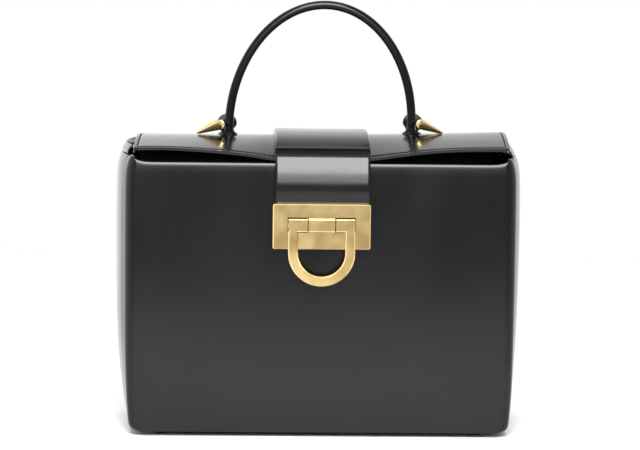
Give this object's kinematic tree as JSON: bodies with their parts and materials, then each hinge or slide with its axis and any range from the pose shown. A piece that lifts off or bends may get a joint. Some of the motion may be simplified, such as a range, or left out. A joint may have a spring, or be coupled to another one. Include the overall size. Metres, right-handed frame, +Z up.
{
  "type": "box bag",
  "caption": "Structured black leather box handbag: sagging lid, centre strap with gold plate and hinged pull ring, rolled top handle on gold stirrups.",
  "frame": {"origin": "on the floor under the middle of the whole object, midway between the back wall and the front of the clasp", "axes": "+Z up, +X to the right seen from the front, the clasp side faces -Y"},
  "size_m": [0.2706, 0.123, 0.2874],
  "materials": {
    "leather": "brushed smooth calf, glossy",
    "handle_leather": "rolled smooth calf, satin",
    "gold": "polished gold plating",
    "foot": "satin black"
  },
  "bodies": {
    "bag": {"front_panel": "leather", "back_panel": "leather", "base_panel": "leather", "gusset_left": "leather", "gusset_right": "leather", "lid": "leather", "lid_ear_left": "leather", "lid_ear_right": "leather", "closure_strap": "leather", "handle": "handle_leather", "handle_loop_left": "handle_leather", "handle_loop_right": "handle_leather", "stirrup_left": "gold", "stirrup_right": "gold", "clasp_plate": "gold", "clasp_pin": "gold", "clasp_catch": "gold", "foot_front_left": "foot", "foot_front_right": "foot", "foot_back_left": "foot", "foot_back_right": "foot"},
    "pull_ring": {"clasp_ring": "gold"}
  },
  "joints": [
    {"name": "pull_ring_hinge", "type": "hinge", "parent": "bag", "child": "pull_ring", "pos_m": [0, -0.05916, 0.1415], "axis": [-1, 0, 0], "range_deg": [0, 110]}
  ]
}
